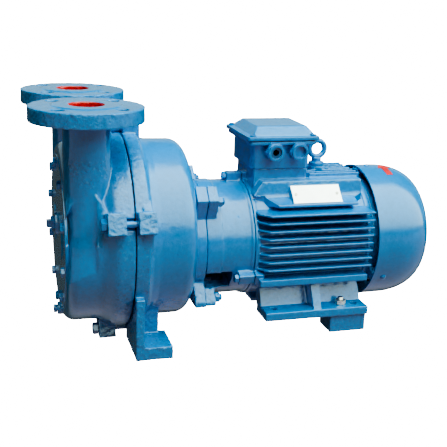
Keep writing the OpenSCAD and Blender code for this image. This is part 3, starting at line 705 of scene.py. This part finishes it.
s = Solid()
for i, (y, z) in enumerate(((-80, 222), (80, 222), (-84, 66), (84, 66))):
    s.hexagon(P(138.7, y, z), AX, 15, 7.8, 0.4 * i + 0.1, both=True)
    s.turned(P(110, y, z), AX, [(0, 4.5), (1, 5.5), (28.7, 5.5)], 24)
    s.thread(P(146.4, y, z), AX, 5.5, 3.6, 1.2)
ready(s.mesh("flange_bolts_piece"), "fastener", "flange_bolts")

s = Solid()
for i, a in enumerate((-25, 90, 205)):
    y, z = on(102.0, 180 - a, 142.0)
    s.hexagon(P(174, y, z), -AX, 12, 6.5, 0.5 * i, dish=0.3)
    s.turned(P(174, y, z), AX, [(0, 4.0), (37.2, 4.0), (38, 3.3)], 24)
ready(s.mesh("shield_screws_piece"), "fastener", "shield_screws")

s = Solid()
for sy in (-1, 1):
    s.hexagon(P(352, 96.0 * sy, 44), AZ, 16, 8, 0.3 + 0.5 * sy, both=True)
    s.turned(P(352, 96.0 * sy, 12), AZ, [(0, 4.2), (1, 5.0), (33, 5.0)], 24)
    s.thread(P(352, 96.0 * sy, 51.9), AZ, 5.0, 4.1, 1.25)
ready(s.mesh("support_block_bolts_piece"), "zinc", "support_block_bolts")

s = Solid()
for i in range(4):
    y, z = on(92.0, 45 + 90 * i, 142.0)
    s.hexagon(P(414, y, z), AX, 10, 4.5, 0.3 * i, dish=0.25)
    s.turned(P(414, y, z), -AX, [(0, 3.0), (21.4, 3.0), (22, 2.4)], 24)
ready(s.mesh("fan_shield_screws_piece"), "zinc", "fan_shield_screws")

s = Solid()
s.hexagon(P(-100.5, 0, 32.5), -AX, 13, 5.5, 0.2, dish=0.4)
s.turned(P(-100.5, 0, 32.5), AX, [(0, 5.0), (19.5, 5.0), (20.5, 4.2)], 24)
ready(s.mesh("drain_plug_piece"), "fastener", "drain_plug")

# ------------------------------------------------- machined and pressed ---
edged_piece("service_plug", "fastener", 0.8)
edged_piece("cable_gland", "gland", 0.9, 3)
edged_piece("blanking_plug", "gland", 0.9, 3)
edged_piece("nameplate", "plate", 0.25, 2)
soft_node("gland_insert", "painted_rubber")
soft_node("fan_cover", "sheet", 34.0)
soft_node("rotation_arrow", "red")
soft_node("lid_screws", "fastener")
soft_node("fan_cover_screws", "fastener")
soft_node("nameplate_rivets", "zinc")

# ---------------------------------------------------- remaining CAD nodes ---
KEEP = {
    "end_plate_gasket": "rubber", "cover_gasket": "rubber", "terminal_box_gasket": "rubber", "slinger": "rubber",
    "port_plate": "steel", "flap_clamp": "steel", "discharge_flap": "valve",
    "seal_seat": "seal", "seal_rotor": "seal", "shaft": "steel", "impeller": "bronze",
    "impeller_nut": "steel", "impeller_washer": "steel", "impeller_key": "steel",
    "front_bearing_outer": "steel", "front_bearing_inner": "steel", "rear_bearing_outer": "steel",
    "rear_bearing_inner": "steel", "bearing_balls": "steel",
    "stator_core": "lamination", "rotor_core": "lamination", "stator_winding": "winding",
    "fan": "fan", "fan_clip": "steel", "terminal_board": "board", "terminal_studs": "brass",
}
for n, k in KEEP.items():
    for slot in NODE[n].material_slots:
        slot.material = MAT[k]


# ------------------------------------------------------------------ stage ---
def plane(name, size, z):
    me = bpy.data.meshes.new(name)
    h = size / 2
    me.from_pydata([(-h, -h, z), (h, -h, z), (h, h, z), (-h, h, z)], [], [(0, 1, 2, 3)])
    ob = link(name, me)
    return ob


floor = plane("floor", 60.0, -0.0004)
m = bpy.data.materials.new("floor_white")
m.use_nodes = True
t = Tree(m.node_tree)
out = t.new("ShaderNodeOutputMaterial")
d = t.new("ShaderNodeBsdfDiffuse", i_Color=(0.86, 0.86, 0.86, 1.0))
e = t.new("ShaderNodeEmission", i_Strength=9.0)
a = t.new("ShaderNodeAddShader")
t.nt.links.new(d.outputs[0], a.inputs[0])
t.nt.links.new(e.outputs[0], a.inputs[1])
t.nt.links.new(a.outputs[0], out.inputs["Surface"])
floor.data.materials.append(m)
floor.visible_diffuse = floor.visible_glossy = floor.visible_transmission = floor.visible_shadow = False

bounce = plane("floor_bounce", 60.0, -0.0008)
m = bpy.data.materials.new("floor_grey")
m.use_nodes = True
t = Tree(m.node_tree)
out = t.new("ShaderNodeOutputMaterial")
d = t.new("ShaderNodeBsdfDiffuse", i_Color=(0.07, 0.07, 0.075, 1.0))
t.nt.links.new(d.outputs[0], out.inputs["Surface"])
bounce.data.materials.append(m)
bounce.visible_camera = bounce.visible_shadow = bounce.visible_glossy = False


def make_world():
    w = bpy.data.worlds.new("studio")
    scene.world = w
    w.use_nodes = True
    t = Tree(w.node_tree)
    out = t.new("ShaderNodeOutputWorld")
    xyz = t.new("ShaderNodeSeparateXYZ", i_Vector=t.new("ShaderNodeTexCoord").outputs["Generated"]).outputs
    ang = t.math("MULTIPLY", t.math("ARCTAN2", xyz[2], t.math("MULTIPLY", xyz[1], -1.0)), 180.0 / math.pi)
    box = t.math("MULTIPLY", t.ramp(ang, 5.0, 23.0), t.ramp(ang, 106.0, 90.0))
    box = t.math("MULTIPLY", box, t.ramp(xyz[0], -0.92, -0.35, 0.10, 1.0))
    light = t.math("MULTIPLY", box, t.ramp(ang, 15.0, 100.0, 2.25, 3.2, smooth=False))
    back = t.math("MULTIPLY", t.ramp(ang, 148.0, 164.0), t.ramp(ang, 180.0, 179.0))
    light = t.math("MULTIPLY_ADD", back, 0.34, light)
    low = t.math("MULTIPLY", t.ramp(ang, 8.0, -4.0), t.ramp(ang, -140.0, -110.0, 0.08, 1.0))
    light = t.math("MULTIPLY_ADD", low, 0.58, light)
    light = t.math("ADD", light, 0.03)
    studio = t.new("ShaderNodeBackground", i_Color=t.mix(low, (0.97, 1.15, 1.02, 1.0), (0.95, 0.92, 1.12, 1.0)), i_Strength=light)
    white = t.new("ShaderNodeBackground", i_Color=(1.0, 1.0, 1.0, 1.0), i_Strength=9.0)
    mix = t.new("ShaderNodeMixShader")
    t.put(mix.inputs[0], t.new("ShaderNodeLightPath").outputs["Is Camera Ray"])
    t.nt.links.new(studio.outputs[0], mix.inputs[1])
    t.nt.links.new(white.outputs[0], mix.inputs[2])
    t.nt.links.new(mix.outputs[0], out.inputs["Surface"])


def soft_light(name, at, aim, wide, deep, watts):
    """A large soft box that lights the object; the reflections come from the studio around it."""
    la = bpy.data.lights.new(name, "AREA")
    la.shape = "RECTANGLE"
    la.size, la.size_y = wide, deep
    la.energy = watts
    ob = bpy.data.objects.new(name, la)
    scene.collection.objects.link(ob)
    ob.location = at
    ob.rotation_euler = (Vector(aim) - Vector(at)).to_track_quat("-Z", "Y").to_euler()
    ob.visible_glossy = ob.visible_camera = False


make_world()
scene.world.cycles_visibility.diffuse = False
soft_light("overhead", (0.25, -0.40, 2.30), (0.15, -0.35, 0.0), 3.2, 1.5, 104.0)
soft_light("front_fill", (1.7, -2.0, 2.0), (0.0, 0.0, 0.2), 2.0, 1.2, 49.0)
soft_light("back_fill", (0.4, 2.6, 1.4), (0.0, 0.0, 0.2), 2.6, 1.4, 36.0)
soft_light("left_fill", (-2.8, 0.2, 0.9), (0.0, 0.0, 0.2), 1.6, 1.2, 9.0)
soft_light("right_fill", (2.8, 0.2, 0.9), (0.0, 0.0, 0.2), 1.6, 1.2, 14.0)

bpy.context.view_layer.update()
